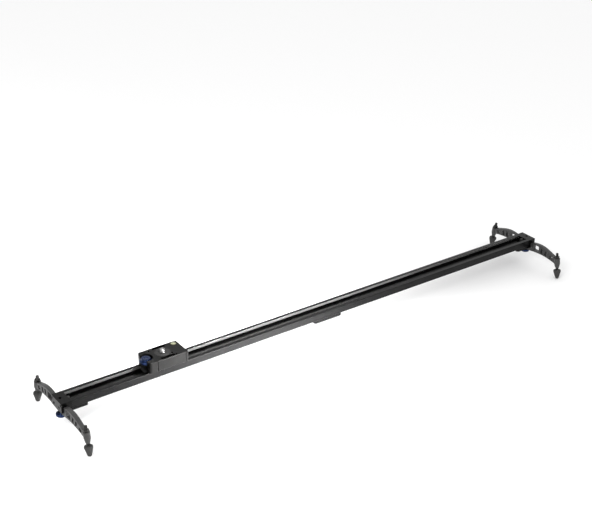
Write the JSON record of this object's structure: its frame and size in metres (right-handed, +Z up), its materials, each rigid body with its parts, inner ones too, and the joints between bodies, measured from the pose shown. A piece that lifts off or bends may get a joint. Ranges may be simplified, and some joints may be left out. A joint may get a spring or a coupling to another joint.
{
  "type": "camera slider",
  "caption": "Low camera slider: a channelled rail with a rolling carriage that carries a camera screw, a drag knob and a bubble level, on curved end legs with height-adjusting rubber feet.",
  "frame": {"origin": "on the ground, under the middle of the rail", "axes": "+X along the rail, +Y across the rail towards its rear edge, +Z up"},
  "size_m": [1.192, 0.2188, 0.0938],
  "materials": {
    "rail_anodised": "black anodised, semi-gloss",
    "polished_steel": "polished",
    "plate_anodised": "black anodised, satin",
    "black_screw_steel": "black oxide",
    "buffer_rubber": "matte",
    "leg_casting": "cast, satin dark grey",
    "carriage_anodised": "black anodised, satin",
    "guide_polymer": "matte",
    "bright_steel": "bright turned",
    "bearing_steel": "ground",
    "pad_rubber": "matte",
    "level_housing_plastic": "gloss",
    "level_vial_acrylic": "clear, tinted",
    "blue_anodised": "deep blue anodised",
    "foot_rubber": "matte",
    "stud_steel": "black oxide"
  },
  "bodies": {
    "rail_frame": {"rail": "rail_anodised", "guide_strip_front": "polished_steel", "guide_strip_rear": "polished_steel", "end_block_left": "rail_anodised", "end_block_right": "rail_anodised", "end_block_screws": "black_screw_steel", "end_buffer_left": "buffer_rubber", "end_buffer_right": "buffer_rubber", "end_mount_plate_left": "plate_anodised", "end_mount_plate_right": "plate_anodised", "middle_mount_plate": "plate_anodised", "mount_plate_screws": "black_screw_steel", "leg_arch_left": "leg_casting", "leg_arch_right": "leg_casting"},
    "carriage": {"carriage_body": "carriage_anodised", "carriage_cap_left": "carriage_anodised", "carriage_cap_right": "carriage_anodised", "carriage_cap_screws": "black_screw_steel", "guide_block": "guide_polymer", "roller_axles": "bright_steel", "camera_screw": "bright_steel", "camera_pad": "pad_rubber", "level_housing": "level_housing_plastic", "level_vial": "level_vial_acrylic"},
    "drag_knob": {"drag_knob": "blue_anodised", "drag_screw": "black_screw_steel"},
    "brake_shoe": {"brake_shoe": "guide_polymer"},
    "roller_front_left": {"roller_front_left": "bearing_steel"},
    "roller_rear_left": {"roller_rear_left": "bearing_steel"},
    "roller_front_right": {"roller_front_right": "bearing_steel"},
    "roller_rear_right": {"roller_rear_right": "bearing_steel"},
    "leg_knob_left": {"leg_knob_left": "blue_anodised", "leg_knob_screw_left": "black_screw_steel"},
    "leg_knob_right": {"leg_knob_right": "blue_anodised", "leg_knob_screw_right": "black_screw_steel"},
    "foot_front_left": {"foot_stud_front_left": "stud_steel", "foot_cone_front_left": "foot_rubber"},
    "lock_nut_front_left": {"lock_nut_front_left": "stud_steel"},
    "foot_rear_left": {"foot_stud_rear_left": "stud_steel", "foot_cone_rear_left": "foot_rubber"},
    "lock_nut_rear_left": {"lock_nut_rear_left": "stud_steel"},
    "foot_front_right": {"foot_stud_front_right": "stud_steel", "foot_cone_front_right": "foot_rubber"},
    "lock_nut_front_right": {"lock_nut_front_right": "stud_steel"},
    "foot_rear_right": {"foot_stud_rear_right": "stud_steel", "foot_cone_rear_right": "foot_rubber"},
    "lock_nut_rear_right": {"lock_nut_rear_right": "stud_steel"}
  },
  "joints": [
    {"name": "carriage_slide", "type": "slide", "parent": "rail_frame", "child": "carriage", "axis": [1, 0, 0], "range_m": [-0.152, 0.906]},
    {"name": "roller_front_left_turn", "type": "hinge", "parent": "carriage", "child": "roller_front_left", "pos_m": [-0.398, -0.00635, 0.061], "axis": [0, 0, 1], "range_deg": [-9443.2, 1588.4]},
    {"name": "roller_rear_left_turn", "type": "hinge", "parent": "carriage", "child": "roller_rear_left", "pos_m": [-0.398, 0.00635, 0.061], "axis": [0, 0, 1], "range_deg": [-1588.4, 9443.2]},
    {"name": "roller_front_right_turn", "type": "hinge", "parent": "carriage", "child": "roller_front_right", "pos_m": [-0.346, -0.00635, 0.061], "axis": [0, 0, 1], "range_deg": [-9443.2, 1588.4]},
    {"name": "roller_rear_right_turn", "type": "hinge", "parent": "carriage", "child": "roller_rear_right", "pos_m": [-0.346, 0.00635, 0.061], "axis": [0, 0, 1], "range_deg": [-1588.4, 9443.2]},
    {"name": "drag_knob_turn", "type": "hinge", "parent": "carriage", "child": "drag_knob", "pos_m": [-0.411, 0, 0.081], "axis": [0, 0, -1], "range_deg": [0, 216]},
    {"name": "brake_shoe_press", "type": "slide", "parent": "carriage", "child": "brake_shoe", "axis": [0, 0, -1], "range_m": [0, 0.0006]},
    {"name": "leg_knob_left_turn", "type": "hinge", "parent": "rail_frame", "child": "leg_knob_left", "pos_m": [-0.586, 0, 0.031], "axis": [0, 0, -1], "range_deg": [0, 720]},
    {"name": "leg_knob_right_turn", "type": "hinge", "parent": "rail_frame", "child": "leg_knob_right", "pos_m": [0.586, 0, 0.031], "axis": [0, 0, -1], "range_deg": [0, 720]},
    {"name": "foot_front_left_adjust", "type": "slide", "parent": "rail_frame", "child": "foot_front_left", "axis": [0, 0.1478, 0.989], "range_m": [-0.007, 0.004]},
    {"name": "lock_nut_front_left_turn", "type": "hinge", "parent": "rail_frame", "child": "lock_nut_front_left", "pos_m": [-0.58515, -0.09644, 0.04995], "axis": [0, 0.1478, 0.989], "range_deg": [0, 360]},
    {"name": "foot_rear_left_adjust", "type": "slide", "parent": "rail_frame", "child": "foot_rear_left", "axis": [0, -0.1478, 0.989], "range_m": [-0.007, 0.004]},
    {"name": "lock_nut_rear_left_turn", "type": "hinge", "parent": "rail_frame", "child": "lock_nut_rear_left", "pos_m": [-0.58515, 0.09644, 0.04995], "axis": [0, -0.1478, 0.989], "range_deg": [0, 360]},
    {"name": "foot_front_right_adjust", "type": "slide", "parent": "rail_frame", "child": "foot_front_right", "axis": [0, 0.1478, 0.989], "range_m": [-0.007, 0.004]},
    {"name": "lock_nut_front_right_turn", "type": "hinge", "parent": "rail_frame", "child": "lock_nut_front_right", "pos_m": [0.58515, -0.09644, 0.04995], "axis": [0, 0.1478, 0.989], "range_deg": [0, 360]},
    {"name": "foot_rear_right_adjust", "type": "slide", "parent": "rail_frame", "child": "foot_rear_right", "axis": [0, -0.1478, 0.989], "range_m": [-0.007, 0.004]},
    {"name": "lock_nut_rear_right_turn", "type": "hinge", "parent": "rail_frame", "child": "lock_nut_rear_right", "pos_m": [0.58515, 0.09644, 0.04995], "axis": [0, -0.1478, 0.989], "range_deg": [0, 360]}
  ],
  "couplings": [
    {"joint": "roller_front_left_turn", "follows": "carriage_slide", "rad_per_m": -181.82},
    {"joint": "roller_rear_left_turn", "follows": "carriage_slide", "rad_per_m": 181.82},
    {"joint": "roller_front_right_turn", "follows": "carriage_slide", "rad_per_m": -181.82},
    {"joint": "roller_rear_right_turn", "follows": "carriage_slide", "rad_per_m": 181.82},
    {"joint": "brake_shoe_press", "follows": "drag_knob_turn", "m_per_rad": 0.00015915}
  ]
}
